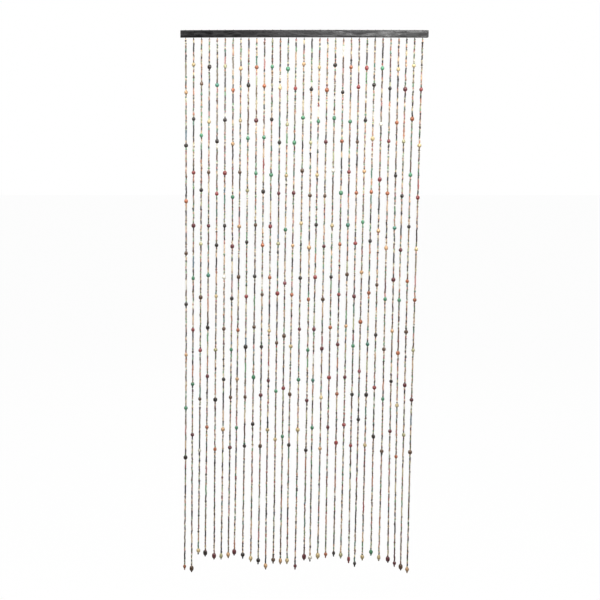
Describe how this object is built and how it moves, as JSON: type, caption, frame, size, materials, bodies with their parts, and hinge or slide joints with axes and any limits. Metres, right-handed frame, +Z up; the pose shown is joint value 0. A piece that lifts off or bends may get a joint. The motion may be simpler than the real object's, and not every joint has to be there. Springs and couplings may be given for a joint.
{
  "type": "bead curtain with hanging rail",
  "caption": "Bead curtain for a doorway: a dark wooden rail with hanging strands of small wooden beads, larger coloured beads along them and one bigger bead at each tip",
  "frame": {"origin": "middle of the rail's flat back face", "axes": "+Z up, +X along the rail to the right as seen from the front, +Y back towards the wall or door frame, so the front faces -Y"},
  "size_m": [0.9, 0.0178, 2.05],
  "materials": {
    "stained_wood": "dark stain under a satin lacquer",
    "wooden_beads": "natural, dyed and painted wood, satin"
  },
  "bodies": {
    "root": {"rail": "stained_wood", "strings": "wooden_beads"}
  },
  "joints": []
}
